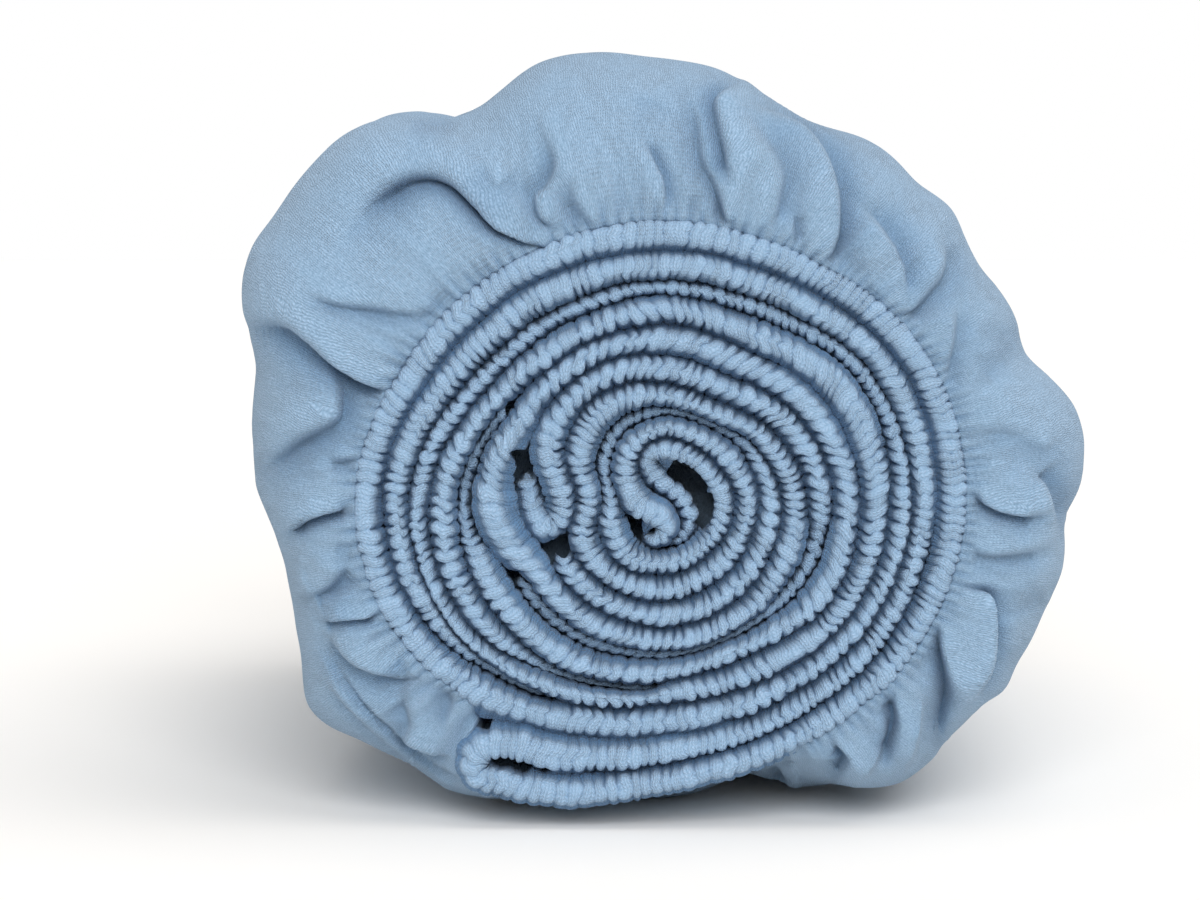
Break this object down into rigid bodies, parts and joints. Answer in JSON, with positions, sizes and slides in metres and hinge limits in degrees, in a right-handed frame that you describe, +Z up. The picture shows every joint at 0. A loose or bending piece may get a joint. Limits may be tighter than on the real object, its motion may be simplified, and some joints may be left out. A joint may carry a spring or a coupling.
{
  "type": "rolled fitted sheet",
  "caption": "Fitted bed sheet of soft knit rolled up for storage, its elastic hem coiled at one end and the cloth ballooning softly behind it.",
  "frame": {"origin": "middle of the bounding box on the surface that the roll lies on", "axes": "+Y along the roll from the coiled hem to the plain end, +Z up, +X to the right as seen from the coiled hem"},
  "size_m": [0.221, 0.3, 0.1948],
  "materials": {
    "soft_knit": "soft brushed knit, matt, light blue"
  },
  "bodies": {
    "root": {"rolled_sheet": "soft_knit"}
  },
  "joints": []
}
